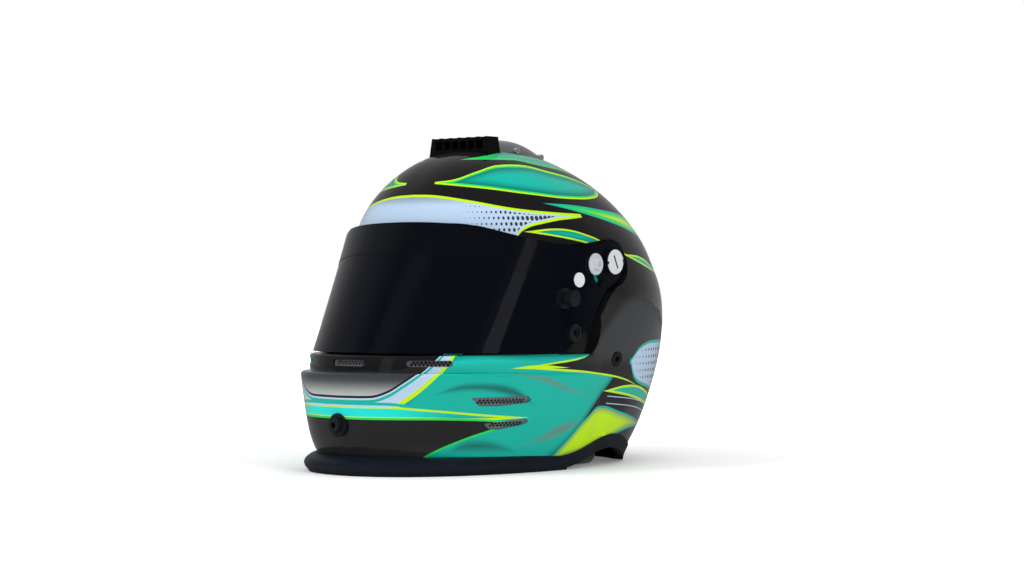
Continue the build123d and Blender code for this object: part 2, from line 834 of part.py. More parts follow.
def crown_scoop(outer):
    """Black intake on the crown: vaned mouth, scalloped brow, seated on the shell."""
    outline = Polyline((-scoop_half_width, scoop_base), (-scoop_top_half_width, scoop_top),
                       (scoop_top_half_width, scoop_top), (scoop_half_width, scoop_base), close=True)
    place = Plane(origin=(0, scoop_back, 0), x_dir=(1, 0, 0), z_dir=(0, -1, 0))
    length = scoop_back - scoop_front
    body = extrude(place * make_face(outline), amount=length)
    mouth_height = scoop_mouth_top - scoop_mouth_bottom
    middle = (scoop_mouth_top + scoop_mouth_bottom) / 2
    depth = 2 * scoop_mouth_depth
    mouth = Pos(0, scoop_front, middle) * Box(2 * scoop_mouth_half_width, depth, mouth_height)
    step = 2 * scoop_mouth_half_width / (scoop_vane_count + 1)
    vane = Box(scoop_vane, depth - 2 * scoop_mesh_room, mouth_height)
    places = [(index + 1) * step - scoop_mouth_half_width for index in range(scoop_vane_count)]
    mouth = mouth - [Pos(x, scoop_front, middle) * vane for x in places]
    spacing = 2 * scoop_top_half_width / scallop_count
    scallops = []
    for index in range(scallop_count):
        x = (index + 0.5) * spacing - scoop_top_half_width
        rise = scoop_top + scallop_radius - scallop_bite
        scallop = Cylinder(scallop_radius, scallop_reach, rotation=(90, 0, 0))
        scallops.append(Pos(x, scoop_front, rise) * scallop)
    return body - mouth - scallops - outer


def scoop_mesh():
    """Flat mesh across the back of the scoop's mouth."""
    middle = (scoop_mouth_top + scoop_mouth_bottom) / 2
    height = scoop_mouth_top - scoop_mouth_bottom
    depth = scoop_front + scoop_mouth_depth - vent_mesh_thickness / 2
    sheet = Box(2 * scoop_mouth_half_width, height, vent_mesh_thickness)
    columns = int(2 * scoop_mouth_half_width / mesh_pitch) - 1
    sheet = sheet - hole_grid(columns, 3, mesh_pitch, mesh_hole, 2 * vent_mesh_thickness)
    return Pos(0, depth, middle) * Rot(90, 0, 0) * sheet


def fairing_wire(depth, half_width, top):
    """One rounded section across the fairing, flat below the shell's surface."""
    base = top - fairing_base_drop
    points = []
    for step in range(fairing_points + 1):
        angle = math.pi * step / fairing_points
        across = math.copysign(abs(math.cos(angle)) ** (2 / fairing_power), math.cos(angle))
        up = math.sin(angle) ** (2 / fairing_power) if 0 < step < fairing_points else 0
        points.append(Vector(half_width * across, depth, base + fairing_base_drop * up))
    dome = Edge.make_spline(points)
    return Wire([dome, Edge.make_line(points[-1], points[0])])


def fairing_half_width_at(depth):
    for low, high in zip(fairing_rows, fairing_rows[1:]):
        if low[0] <= depth <= high[0]:
            part = (depth - low[0]) / (high[0] - low[0])
            return low[1] + part * (high[1] - low[1])
    return fairing_rows[-1][1]


def crown_fairing(outer):
    """Smooth cover behind the scoop, which runs down into the shell."""
    fairing = Solid.make_loft([fairing_wire(*row) for row in fairing_rows]) - outer
    window_middle = (fairing_window[0][0] + fairing_window[1][0]) / 2
    floor = fairing_half_width_at(window_middle) - fairing_window_depth
    window = make_face([Polyline(*fairing_window, close=True)])
    window = extrude(Plane.YZ.offset(floor) * window, amount=scoop_half_width)
    seats = fairing_screws(fairing_screw_seat)
    return fairing - [window, other_side(window), *seats]


def fairing_screws(grow):
    """Two screws in each side of the fairing."""
    screws = []
    for depth, height in fairing_screw_places:
        face = fairing_half_width_at(depth)
        start = face - fairing_screw_length
        screw = side_cylinder(depth, height, fairing_screw_radius, start, face + fairing_screw_height + grow)
        screws += [screw, other_side(screw)]
    return screws


def socket_cut(depth, height, face):
    place = Plane(origin=(face - cap_slot_depth, depth, height), z_dir=(1, 0, 0))
    return extrude(place * RegularPolygon(fairing_screw_radius / 2, 6), amount=hex_socket_depth)


def drilled_fairing_screws(outer):
    sockets = [outer]
    for depth, height in fairing_screw_places:
        socket = socket_cut(depth, height, fairing_half_width_at(depth) + fairing_screw_height)
        sockets += [socket, other_side(socket)]
    screws = fairing_screws(0)
    return Compound([screw - sockets for screw in screws])


def padding_region(points):
    """Side view of a liner that follows the crown and back and stays clear of the face."""
    top = crown_height + shell_overrun
    rear_low = points[0][1]
    return polygon_prism([(cut_reach, rear_low), *points, (-cut_reach, top), (cut_reach, top)])


def impact_liner(outside):
    foam_shape = (outside & padding_region(foam_outline)) - body_form(wall + foam, foam_side_extra)
    return foam_shape - [anchor_pocket(), other_side(anchor_pocket())]


def comfort_liner():
    outside = body_form(wall + foam, foam_side_extra) & padding_region(comfort_outline)
    return outside - body_form(wall + foam + comfort, foam_side_extra)


def cheek_block():
    outline = Polyline((cheek_front, cheek_bottom), (cheek_rear, cheek_bottom), (cheek_rear, cheek_top),
                       (cheek_front, cheek_top), close=True)
    face = make_face([outline])
    face = fillet(face.vertices(), cheek_corner)
    return extrude(Plane.YZ.offset(recess_start) * face, amount=cut_reach)


def cheek_pad(inner):
    return (inner & cheek_block()) - body_form(0, cheek_inset)


def chin_bar_foam(inner):
    low = Pos(0, cheek_front - pad_clearance - cut_reach / 2, (chin_foam_bottom + chin_foam_top) / 2)
    block = low * Box(2 * cut_reach, cut_reach, chin_foam_top - chin_foam_bottom)
    port = port_cylinder(port_shank_radius + port_relief, 0, cut_reach)
    return (inner & block) - body_form(chin_foam_inset) - port


def neck_roll(inner, trim):
    middle = (neck_bottom + neck_top) / 2
    place = Pos(0, neck_front + cut_reach / 2, middle)
    block = place * Box(2 * cut_reach, cut_reach, neck_top - neck_bottom)
    return (inner & block) - body_form(neck_thickness + wall) - trim


def strap(end):
    """A webbing strap from its anchor pin to its free end."""
    low = strap_floor
    half = strap_thickness / 2
    x = strap_anchor_x
    top = strap_anchor_height + strap_pin_radius + strap_width / 4
    corner = x - strap_bend
    outer_radius = strap_bend + half
    inner_radius = strap_bend - half
    middle_height = low + half + strap_bend
    outer = [Line((x + half, top), (x + half, middle_height)),
             ThreePointArc((x + half, middle_height), bend_point(corner, middle_height, outer_radius),
                           (corner, low)),
             Line((corner, low), (end, low)),
             Line((end, low), (end, low + strap_thickness)),
             Line((end, low + strap_thickness), (corner, low + strap_thickness)),
             ThreePointArc((corner, low + strap_thickness),
                           bend_point(corner, middle_height, inner_radius), (x - half, middle_height)),
             Line((x - half, middle_height), (x - half, top)),
             Line((x - half, top), (x + half, top))]
    place = Plane(origin=(0, strap_depth + strap_width / 2, 0), x_dir=(1, 0, 0), z_dir=(0, -1, 0))
    ribbon = extrude(place * make_face(outer), amount=strap_width)
    hole_radius = strap_pin_radius + running_clearance
    hole = side_cylinder(strap_depth, strap_anchor_height, hole_radius, corner, cut_reach)
    return ribbon - hole


def bend_point(corner, height, radius):
    turn = math.radians(45)
    return (corner + radius * math.sin(turn), height - radius * math.cos(turn))


def ring_hem():
    """The left strap's end, sewn round the bars of both rings."""
    place = Pos(strap_left_end, strap_depth, ring_level)
    outside = place * Cylinder(hem_radius, strap_width, rotation=(90, 0, 0))
    inside = place * Cylinder(hem_bore, 2 * strap_width, rotation=(90, 0, 0))
    return outside, inside


def d_ring(lift):
    """A D of round wire: a straight bar in the strap's hem and a bow past its end."""
    x = strap_left_end
    bow = x - ring_length + ring_half_width
    start = Line((x, -ring_half_width), (x, ring_half_width))
    side_a = Line((x, ring_half_width), (bow, ring_half_width))
    arc = ThreePointArc((bow, ring_half_width), (bow - ring_half_width, 0), (bow, -ring_half_width))
    side_b = Line((bow, -ring_half_width), (x, -ring_half_width))
    path = Wire([edge.edge() for edge in (start, side_a, arc, side_b)])
    profile = Plane(origin=(x, 0, 0), z_dir=(0, 1, 0)) * Circle(ring_wire_radius)
    ring = sweep(profile, path=path, transition=Transition.ROUND)
    return Pos(0, strap_depth, ring_level + lift) * ring


def strap_anchor(shell, trim):
    """Plate on the inside of the shell with the pin that the strap swings on."""
    plate_place = Pos(0, strap_depth, strap_anchor_height)
    wall_x = body_width_at(strap_anchor_height)
    plate = Box(strap_plate_reach, strap_plate_width, strap_plate_width)
    plate = plate_place * Pos(wall_x - wall - strap_plate_reach / 2 + wall / 2, 0, 0) * plate
    start = strap_anchor_x - strap_pin_head - strap_pin_head_height
    pin = side_cylinder(strap_depth, strap_anchor_height, strap_pin_radius, start, wall_x - wall)
    head_radius = strap_pin_radius + strap_pin_head
    head = side_cylinder(strap_depth, strap_anchor_height, head_radius, start, start + strap_pin_head_height)
    return (plate + pin + head) - shell - trim


def build():
    outer = outer_form()
    hollow = recessed_body(wall)
    inner = inner_form(hollow)
    blank = (outer & above_base(trim_groove)) - inner
    shell = outer_shell(blank)
    export_step(shell, "parts/outer_shell.step")

    shield = visor()
    export_step(shield, "parts/visor.step")
    export_step(sun_strip(), "parts/sun_strip.step")
    export_pair(sticker(), "visor_sticker")
    export_pair(tear_off_post(shield), "tear_off_post")
    export_pair(visor_stud(shield), "visor_stud")

    export_pair(pivot_plate(shell), "pivot_plate")
    export_pair(pivot_cap(), "pivot_cap")
    bush, head = guide_screw()
    export_pair(bush, "guide_washer")
    export_pair(head, "guide_screw")
    export_pair(anchor_insert(), "restraint_anchor")

    slots = front_slots()
    x, y = side_slot_place
    middle_place = Plane(origin=(0, 0, slot_level), x_dir=(1, 0, 0), z_dir=(0, -1, 0))
    side_place = Pos(x, y, 0) * Rot(0, 0, side_slot_turn) * Location(middle_place)
    export_step(front_mesh(slots[0], Location(middle_place)), "parts/chin_mesh_middle.step")
    export_pair(front_mesh(slots[1], side_place), "chin_mesh")
    export_pair(side_mesh(side_vent(upper_vent), upper_vent), "side_mesh_upper")
    export_pair(side_mesh(side_vent(lower_vent), lower_vent), "side_mesh_lower")

    block = trim_block()
    trim = base_edge_trim(block, blank)
    export_step(trim, "parts/base_edge_trim.step")
    export_step(chin_spoiler(block, outer), "parts/chin_spoiler.step")
    export_step(eyeport_gasket(), "parts/eyeport_gasket.step")
    export_step(drink_port(shell), "parts/drink_port.step")

    export_step(crown_scoop(outer), "parts/crown_scoop.step")
    export_step(scoop_mesh(), "parts/scoop_mesh.step")
    export_step(crown_fairing(outer), "parts/crown_fairing.step")
    export_step(drilled_fairing_screws(outer), "parts/fairing_screws.step")

    export_step(impact_liner(hollow), "parts/impact_liner.step")
    export_step(comfort_liner(), "parts/comfort_liner.step")
    export_pair(cheek_pad(inner), "cheek_pad")
    export_step(chin_bar_foam(inner), "parts/chin_bar_foam.step")
    export_step(neck_roll(inner, trim), "parts/neck_roll.step")

    hem, hem_hole = ring_hem()
    left_strap = (strap(strap_left_end) + hem) - hem_hole
    export_step(left_strap, "parts/chin_strap_left.step")
    export_step(other_side(strap(strap_right_end)), "parts/chin_strap_right.step")
    export_step(d_ring(ring_spacing), "parts/d_ring_upper.step")
    export_step(d_ring(-ring_spacing), "parts/d_ring_lower.step")
    export_pair(strap_anchor(shell, trim), "strap_anchor")


# Joined faces stay split, because merging them takes minutes on these curved surfaces
with SkipClean():
    build()
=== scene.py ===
import bpy, bmesh, math
from mathutils import Vector, Matrix

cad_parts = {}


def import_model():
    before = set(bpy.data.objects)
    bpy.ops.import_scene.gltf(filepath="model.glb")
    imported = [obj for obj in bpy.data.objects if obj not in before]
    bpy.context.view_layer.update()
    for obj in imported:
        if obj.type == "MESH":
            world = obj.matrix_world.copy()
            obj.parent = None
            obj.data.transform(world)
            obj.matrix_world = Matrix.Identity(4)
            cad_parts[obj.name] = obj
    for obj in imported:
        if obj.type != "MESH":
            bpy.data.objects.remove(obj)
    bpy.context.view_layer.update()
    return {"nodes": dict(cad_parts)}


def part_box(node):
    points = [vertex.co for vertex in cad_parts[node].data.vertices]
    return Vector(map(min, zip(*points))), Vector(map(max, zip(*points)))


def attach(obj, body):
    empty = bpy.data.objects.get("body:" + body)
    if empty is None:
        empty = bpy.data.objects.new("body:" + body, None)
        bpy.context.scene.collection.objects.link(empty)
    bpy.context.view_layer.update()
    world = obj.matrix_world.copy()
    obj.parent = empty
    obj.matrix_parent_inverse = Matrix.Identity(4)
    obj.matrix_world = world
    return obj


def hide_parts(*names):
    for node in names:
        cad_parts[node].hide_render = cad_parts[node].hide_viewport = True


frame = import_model()
nodes = frame["nodes"]

# Shared values and helpers. Lengths are metres in the frame's own axes: front towards -Y, up is +Z.
# Colours are written as sRGB hex and turned linear here. Materials are built from nodes by a few
# small functions, so that each section below reads as a description of one finish.
mm = 0.001
half_turn = 180
side_names = ("left", "right")


def linear(code):
    """An sRGB hex colour as linear red, green, blue and alpha."""
    parts = [int(code[i:i + 2], 16) / 255 for i in (0, 2, 4)]
    turned = [c / 12.92 if c <= 0.04045 else ((c + 0.055) / 1.055) ** 2.4 for c in parts]
    return (*turned, 1.0)


class Nodes:
    """Adds nodes to one material or world and links them by their sockets."""

    def __init__(self, tree):
        self.tree = tree

    def add(self, kind, settings=(), inputs=()):
        node = self.tree.nodes.new(kind)
        for name, value in dict(settings).items():
            setattr(node, name, value)
        for name, value in dict(inputs).items():
            if isinstance(value, bpy.types.NodeSocket):
                self.tree.links.new(value, node.inputs[name])
            else:
                node.inputs[name].default_value = value
        return node

    def math(self, operation, *values):
        return self.add("ShaderNodeMath", {"operation": operation}, enumerate(values)).outputs[0]

    def plus(self, first, second):
        return self.math("ADD", first, second)

    def minus(self, first, second):
        return self.math("SUBTRACT", first, second)

    def times(self, first, second):
        return self.math("MULTIPLY", first, second)

    def distance(self, across, up):
        """The length of two coordinates taken together."""
        return self.math("SQRT", self.plus(self.times(across, across), self.times(up, up)))

    def overlap(self, *depths):
        """How deep a place lies inside all of several areas."""
        result = depths[0]
        for depth in depths[1:]:
            result = self.math("MINIMUM", result, depth)
        return result

    def mix(self, factor, low, high):
        node = self.add("ShaderNodeMix", {"data_type": "RGBA"}, {0: factor, 6: low, 7: high})
        return node.outputs[2]

    def blend(self, factor, low, high):
        """A number between two others."""
        node = self.add("ShaderNodeMix", {"data_type": "FLOAT"}, {0: factor, 2: low, 3: high})
        return node.outputs[0]

    def scaled(self, value, span, levels):
        """A value mapped in a straight line from a span to two levels."""
        inputs = {0: value, 1: span[0], 2: span[1], 3: levels[0], 4: levels[1]}
        return self.add("ShaderNodeMapRange", {}, inputs).outputs[0]

    def eased(self, value, span, levels=(0.0, 1.0)):
        """A value mapped smoothly from a span to two levels."""
        inputs = {0: value, 1: span[0], 2: span[1], 3: levels[0], 4: levels[1]}
        return self.add("ShaderNodeMapRange", {"interpolation_type": "SMOOTHSTEP"}, inputs).outputs[0]

    def places(self):
        """The object's own coordinates, as separate x, y and z."""
        coordinates = self.add("ShaderNodeTexCoord").outputs["Object"]
        return self.add("ShaderNodeSeparateXYZ", {}, {0: coordinates}).outputs


def material(name, colour, roughness, metallic=0.0, **more):
    """A plain material. Further shader values are given by their socket names, with _ for a space."""
    made = bpy.data.materials.new(name)
    made.use_nodes = True
    shader = made.node_tree.nodes["Principled BSDF"]
    shader.inputs["Base Color"].default_value = linear(colour)
    shader.inputs["Roughness"].default_value = roughness
    shader.inputs["Metallic"].default_value = metallic
    for key, value in more.items():
        shader.inputs[key.replace("_", " ")].default_value = value
    return made


def coloured(made, colour):
    """Gives a material a colour that its nodes work out."""
    made.node_tree.links.new(colour, made.node_tree.nodes["Principled BSDF"].inputs["Base Color"])


def bumped(made, build, strength, distance):
    """Gives a material a bump from a height that build(kit, place) works out in object space."""
    kit = Nodes(made.node_tree)
    place = kit.add("ShaderNodeTexCoord").outputs["Object"]
    height = build(kit, place)
    inputs = {"Height": height, "Strength": strength, "Distance": distance}
    bump = kit.add("ShaderNodeBump", {}, inputs)
    shader = made.node_tree.nodes["Principled BSDF"]
    made.node_tree.links.new(bump.outputs["Normal"], shader.inputs["Normal"])


def grain(scale, detail=2.0):
    """A fine moulded or sprayed grain."""
    def build(kit, place):
        inputs = {"Vector": place, "Scale": scale, "Detail": detail}
        return kit.add("ShaderNodeTexNoise", {}, inputs).outputs[0]
    return build


def weave(pitch):
    """Crossed threads, seen along the axis that each surface faces."""
    def build(kit, place):
        axes = kit.add("ShaderNodeSeparateXYZ", {}, {0: place}).outputs
        x, y, z = [kit.math("SINE", kit.times(axis, math.tau / pitch)) for axis in axes]
        return kit.plus(kit.plus(kit.times(x, y), kit.times(y, z)), kit.times(z, x))
    return build


def dress(name, made):
    """Puts a material on a CAD node that is shown as it is."""
    mesh = nodes[name].data
    mesh.materials.clear()
    mesh.materials.append(made)


def object_from(mesh_maker, name, made, body):
    """A finished object at the origin from a bmesh, riding on a body."""
    mesh = bpy.data.meshes.new(name)
    mesh_maker.to_mesh(mesh)
    mesh_maker.free()
    thing = bpy.data.objects.new(name, mesh)
    bpy.context.scene.collection.objects.link(thing)
    mesh.materials.append(made)
    for face in mesh.polygons:
        face.use_smooth = True
    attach(thing, body)
    return thing


# Outer shell: a painted composite shell with a clear coat over a graphic of sweeping bands, pinstripes
# and dots. The graphic is drawn in the paint itself, on the angle round the helmet and the height, so
# it wraps the form with no seam.
ink = {
    "black": "1c1a1c", "graphite": "3c3f42", "silver": "c3cac6", "teal": "00b8a6", "deep": "04655f",
    "cyan": "12e6da", "lime": "c6f500", "green": "22dd5a", "pale": "bcd4ee", "haze": "74807a",
}
shell_paint = material("shell_paint", ink["black"], 0.5, Coat_Weight=1.0, Coat_Roughness=0.03,
                       Specular_IOR_Level=0.1)
paint_reach = 280 * mm
paint_round = 150 * mm * math.pi
edge_blur = 0.3 * mm
paint = linear(ink["black"])
kit = Nodes(shell_paint.node_tree)
spot = kit.places()
height = spot[2]
turn_back = kit.math("ARCTAN2", kit.math("ABSOLUTE", spot[0]), kit.times(spot[1], -1.0))
angle = kit.math("DIVIDE", turn_back, math.pi)


def line(points):
    """A smooth line round the helmet through (angle in degrees, height in mm), as a height in metres."""
    node = kit.add("ShaderNodeFloatCurve", {}, {"Value": angle})
    mapping = node.mapping
    curve = mapping.curves[0]
    places = [(turn / half_turn, rise * mm / paint_reach) for turn, rise in points]
    while len(curve.points) < len(places):
        curve.points.new(0.5, 0.5)
    for point, place in zip(curve.points, places):
        point.location = place
        point.handle_type = "AUTO_CLAMPED"
    mapping.extend = "HORIZONTAL"
    mapping.update()
    return kit.times(node.outputs[0], paint_reach)


def above(edge):
    return kit.minus(height, edge)


def below(edge):
    return kit.minus(edge, height)


def past(start):
    """How far a place lies behind an angle, in metres along the shell."""
    return kit.times(kit.minus(angle, start / half_turn), paint_round)


def before(stop):
    return kit.times(past(stop), -1.0)


def inset(depth, margin):
    """The same area, smaller all round by a margin."""
    return kit.minus(depth, margin)


def band(low, high):
    """How deep a place lies inside the band between two lines, in metres, negative outside."""
    depth = kit.overlap(above(line(low)), below(line(high)))
    if low[0][0] > 0:
        depth = kit.overlap(depth, past(low[0][0]))
    if low[-1][0] < half_turn:
        depth = kit.overlap(depth, before(low[-1][0]))
    return depth


def lay(colour, mask, amount=1.0):
    """Lays a colour over the paint where the mask is."""
    global paint
    strength = kit.times(mask, amount) if amount < 1 else mask
    paint = kit.mix(strength, paint, linear(ink[colour]))


def fill(colour, depth, start=0.0, softness=edge_blur, amount=1.0):
    """Lays a colour wherever the depth is past start."""
    lay(colour, kit.eased(depth, (start, start + softness)), amount)


def pinstripe(colour, depth, start, width, within=None):
    """A line of one width, start inside the band's edge, or outside it where start is negative."""
    into = kit.eased(depth, (start, start + edge_blur))
    out = kit.eased(depth, (start + width, start + width + edge_blur))
    mask = kit.times(into, kit.minus(1.0, out))
    if within:
        mask = kit.times(mask, kit.eased(within, (0.0, edge_blur)))
    lay(colour, mask)


def fade(colour, depth, measure, none_at, full_at, amount=1.0):
    """Lays a colour inside a band, stronger as another measure goes from none_at to full_at."""
    grown = kit.eased(measure, (none_at, full_at))
    lay(colour, kit.times(kit.eased(depth, (0.0, edge_blur)), grown), amount)


def shade(colour, depth, reach, amount):
    """An airbrushed edge: strongest at the band's edge and gone at reach inside it."""
    fade(colour, depth, depth, none_at=reach, full_at=0.0, amount=amount)


def dots(pitch, sizes, turns):
    """Staggered round dots that grow between two angles, as a depth inside them.

    Pitch is in metres, and a size is a dot's radius as a share of the pitch.
    """
    row_drop = 0.866
    row_height = kit.math("DIVIDE", height, pitch * row_drop)
    stagger = kit.times(kit.math("MODULO", kit.math("FLOOR", row_height), 2.0), 0.5)
    round_way = kit.plus(kit.math("DIVIDE", past(0), pitch), stagger)
    cell_x = kit.minus(kit.math("FRACT", round_way), 0.5)
    cell_z = kit.times(kit.minus(kit.math("FRACT", row_height), 0.5), row_drop)
    size = kit.scaled(angle, [turn / half_turn for turn in turns], sizes)
    return kit.times(kit.minus(size, kit.distance(cell_x, cell_z)), pitch)


# Quiet graphite tones that the black carries on the brow and low at the back
brow_tone = band(((0, 236), (60, 236), (180, 244)), ((0, 262), (60, 262), (180, 262)))
tail_tone = band(((96, 0), (125, 22), (180, 30)), ((96, 0), (125, 58), (180, 62)))
fill("graphite", brow_tone, softness=16 * mm, amount=0.4)
fill("graphite", tail_tone, softness=12 * mm, amount=0.8)

# Cheeks: the broad teal sweep from the chin to the arch, with airbrushed curls inside it
cheek_top = 98 * mm
cheek_front = line(((0, 36), (13, 49), (19, 60), (25, 76), (31, 95), (38, 124), (180, 126)))
cheek_rear = line(((0, 0), (62, 0), (72, 10), (84, 29), (96, 55), (106, 76), (116, 118), (180, 122)))
cheek = kit.overlap(above(cheek_rear), below(cheek_front), below(cheek_top))
upper_curl = band(((34, 76), (48, 79), (64, 72), (80, 62), (96, 58)),
                  ((34, 76), (48, 82), (64, 80), (80, 68), (96, 58)))
rear_curl = band(((44, 20), (60, 21), (76, 27), (92, 44)), ((44, 20), (60, 27), (76, 41), (92, 44)))
slot_curl = band(((24, 62), (38, 66), (52, 60), (64, 50)), ((24, 62), (38, 76), (52, 72), (64, 50)))
low_curl = band(((28, 16), (44, 15), (60, 14)), ((28, 16), (38, 32), (60, 14)))
top_glow = band(((20, 84), (40, 86), (70, 88)), ((20, 84), (40, 97), (70, 88)))
fill("teal", cheek)
shade("deep", cheek, reach=9 * mm, amount=0.7)
fill("haze", upper_curl, softness=5 * mm, amount=0.8)
fill("haze", rear_curl, softness=7 * mm, amount=0.75)
fill("deep", slot_curl, softness=6 * mm, amount=0.9)
fill("deep", low_curl, softness=10 * mm, amount=0.9)
fill("cyan", top_glow, softness=8 * mm, amount=0.5)

# Chin: a bright band over a dark jaw, and curved stripes nested under a grey panel
jaw = band(((0, 0), (17, 3), (24, 16), (34, 28), (44, 36), (53, 41)),
           ((0, 45.5), (20, 45.5), (40, 44), (53, 41)))
bright = band(((0, 45.5), (20, 45.5), (40, 44), (60, 45)),
              ((0, 56), (14, 56), (24, 54), (42, 49), (60, 45)))
fill("cyan", bright)
fade("teal", bright, angle, none_at=14.4 / half_turn, full_at=36 / half_turn)
pinstripe("lime", bright, start=0.0, width=1.7 * mm)
fill("black", jaw)
# Graphite lightens the black jaw towards its bottom edge: a painted soft highlight on the gloss.
fade("graphite", jaw, height, none_at=30 * mm, full_at=12 * mm, amount=0.45)
pinstripe("green", jaw, start=-1.4 * mm, width=1.7 * mm)
panel_edge = line(((0, 62), (11, 62.5), (15, 66), (19, 73), (25, 86), (31, 104), (38, 135), (60, 200),
                   (180, 240)))
stripe_foot = line(((0, 55), (14, 55), (22, 53), (34, 50), (60, 46), (180, 46)))
stripe_drop = 16.5 * mm
lime_drop = 12.2 * mm
stripe_top = 100 * mm
panel_top = 84 * mm
panel_line = 1.6 * mm
under_panel = kit.overlap(below(panel_edge), above(stripe_foot), below(stripe_top))
stripes = kit.overlap(under_panel, kit.minus(stripe_drop, below(panel_edge)))
fill("pale", stripes)
fill("lime", kit.overlap(inset(below(panel_edge), lime_drop), stripes))
pinstripe("teal", under_panel, start=1.4 * mm, width=2.4 * mm, within=before(44))
fill("black", above(panel_edge))
panel = kit.overlap(above(panel_edge), below(panel_top))
fill("graphite", panel, start=panel_line)
fade("silver", inset(panel, panel_line), height, none_at=78 * mm, full_at=60 * mm)

# Lime wedge and dark sweep that run back from the cheek under the pivot, with soft grey on the flank
sweep = band(((54, 85), (70, 83), (90, 80), (112, 74), (132, 64), (150, 56)),
             ((54, 85), (68, 89), (84, 92), (93, 104), (101, 128), (150, 150)))
flank = band(((76, 88), (92, 84), (112, 82), (132, 96), (150, 132)),
             ((76, 88), (88, 98), (97, 124), (118, 150), (150, 132)))
sweep_border = band(((54, 85), (72, 82), (92, 78.6), (112, 73), (128, 65)),
                    ((54, 85), (72, 84), (92, 80.4), (112, 74.6), (128, 65)))
upper_border = band(((54, 85), (68, 87.6), (80, 90.6), (88, 95)),
                    ((54, 85), (68, 89.2), (80, 92.2), (88, 95)))
wedge = band(((50, 85), (62, 84), (78, 84.5)), ((50, 85), (62, 87.5), (78, 84.5)))
fill("black", sweep)
fill("graphite", flank, softness=14 * mm, amount=0.75)
fill("lime", sweep_border)
fill("lime", upper_border)
fill("lime", wedge)

# Rear sides: a pale panel with a fading dot pattern, fine stripes below it, and the lime flash
rear_panel = band(((116, 88), (122, 74), (134, 67), (150, 63), (166, 62), (172, 80)),
                  ((116, 88), (122, 99), (134, 103), (150, 102), (166, 98), (172, 80)))
rear_dots = dots(pitch=6.8 * mm, sizes=(0.10, 0.46), turns=(118, 162))
fill("pale", rear_panel)
fill("graphite", kit.overlap(rear_dots, inset(rear_panel, 3 * mm)))
pinstripe("teal", rear_panel, start=-2.2 * mm, width=2.4 * mm)
tail = band(((100, 64), (120, 58), (142, 49), (164, 42)), ((100, 64), (118, 68), (142, 58), (164, 42)))
fill("teal", tail)
pinstripe("lime", tail, start=0.0, width=1.8 * mm)
flash = band(((72, 8), (84, 12), (104, 18), (122, 30), (140, 33)),
             ((72, 8), (82, 25), (92, 42), (100, 50), (116, 44), (140, 33)))
fill("lime", flash)
shade("haze", flash, reach=6 * mm, amount=0.6)
pinstripe("teal", flash, start=-1.8 * mm, width=1.8 * mm)
fine_stripe = ((104, 53), (124, 49), (150, 40), (176, 34))
fine_width = 1
for lift in (0, 6):
    foot = [(turn, rise + lift) for turn, rise in fine_stripe]
    fill("pale", band(foot, [(turn, rise + fine_width) for turn, rise in foot]))

# Brow: a pale band over the visor that ends in a point, dotted towards its tip, with a lime border
brow = band(((0, 180), (50, 180), (58, 197), (70, 204), (90, 209)),
            ((0, 225), (15, 224), (34, 219.5), (57, 212.5), (74, 210), (90, 209)))
brow_dots = dots(pitch=5.6 * mm, sizes=(0.0, 0.52), turns=(24, 74))
fill("pale", brow)
fade("haze", brow, height, none_at=216 * mm, full_at=224 * mm, amount=0.6)
fill("graphite", kit.overlap(brow_dots, inset(brow, 1.8 * mm)))
pinstripe("lime", brow, start=-1.6 * mm, width=2.0 * mm)

# Crown: swept teal bands with green and lime borders that run back over the top
crown_low = band(((12, 236), (26, 234), (44, 231), (64, 227), (90, 224), (112, 226), (126, 232)),
                 ((12, 236), (24, 238), (36, 244), (50, 250), (68, 251), (92, 246), (112, 240), (126, 232)))
fill("teal", crown_low)
shade("deep", crown_low, reach=9 * mm, amount=0.9)
pinstripe("green", crown_low, start=0.0, width=1.6 * mm)
pinstripe("lime", crown_low, start=-1.0 * mm, width=1.2 * mm)
crown_high = band(((20, 256), (44, 256), (66, 256), (90, 252), (120, 246), (154, 234)),
                  ((20, 256), (44, 260), (66, 264), (90, 261), (120, 255), (154, 234)))
fill("teal", crown_high)
shade("haze", crown_high, reach=6 * mm, amount=0.5)
pinstripe("green", crown_high, start=0.0, width=1.6 * mm)
back_sweep = band(((70, 219), (90, 212), (110, 204), (130, 195), (152, 186), (176, 186)),
                  ((70, 219), (88, 218), (108, 215), (128, 211), (152, 200), (176, 186)))
fill("green", back_sweep)
fill("lime", back_sweep, start=2.5 * mm, softness=4 * mm)
shade("teal", back_sweep, reach=3 * mm, amount=1.0)
pivot_sweep = band(((58, 195), (76, 190), (94, 184), (112, 177)),
                   ((58, 195), (74, 198), (92, 192), (112, 177)))
fill("teal", pivot_sweep)
shade("deep", pivot_sweep, reach=5 * mm, amount=0.7)
pinstripe("lime", pivot_sweep, start=0.0, width=1.4 * mm)
lower_sweep = band(((108, 178), (124, 168), (142, 160)), ((108, 178), (122, 176), (142, 160)))
fill("teal", lower_sweep)
pinstripe("lime", lower_sweep, start=0.0, width=1.4 * mm)
coloured(shell_paint, paint)

